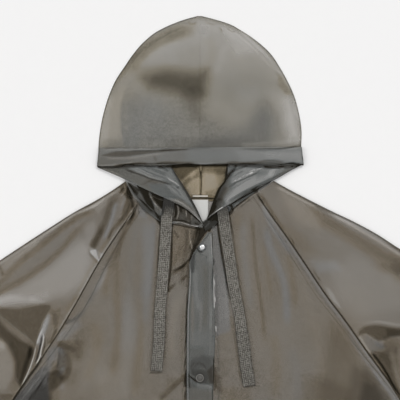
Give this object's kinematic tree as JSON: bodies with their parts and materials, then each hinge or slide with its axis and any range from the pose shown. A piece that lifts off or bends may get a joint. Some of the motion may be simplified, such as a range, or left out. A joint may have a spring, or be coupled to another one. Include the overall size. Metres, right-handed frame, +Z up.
{
  "type": "raincoat",
  "caption": "Hooded raincoat of translucent grey-brown film, laid flat face up with the hood spread, raglan sleeves out, a snapped front band and flat drawcord ends",
  "frame": {"origin": "under the middle of the coat's box, on the surface that it lies on", "axes": "+X runs along the spread sleeves to the viewer's right as the coat is seen from above, +Y runs from the hem to the hood, +Z points up from the surface"},
  "size_m": [1.461, 1.2806, 0.0116],
  "materials": {
    "film": "translucent frosted film with a soft sheen",
    "casing": "doubled translucent film, slightly cooler grey",
    "webbing": "flat woven grey webbing, matte and speckled",
    "label": "plain pale woven tape, left blank",
    "snap": "small satin metal fastener"
  },
  "bodies": {
    "root": {"back": "film", "front_left": "film", "front_right": "film", "sleeve_left": "film", "sleeve_right": "film", "hood_back_left": "film", "hood_back_right": "film", "hood_crown": "film", "hood_casing": "casing", "hood_side_left": "casing", "hood_side_right": "casing", "placket": "casing", "drawcord_left": "webbing", "drawcord_right": "webbing", "cord_eyelet": "snap", "label": "label", "hanger_tape": "label", "snap_1": "snap", "snap_2": "snap", "snap_3": "snap", "snap_4": "snap", "snap_5": "snap"}
  },
  "joints": []
}
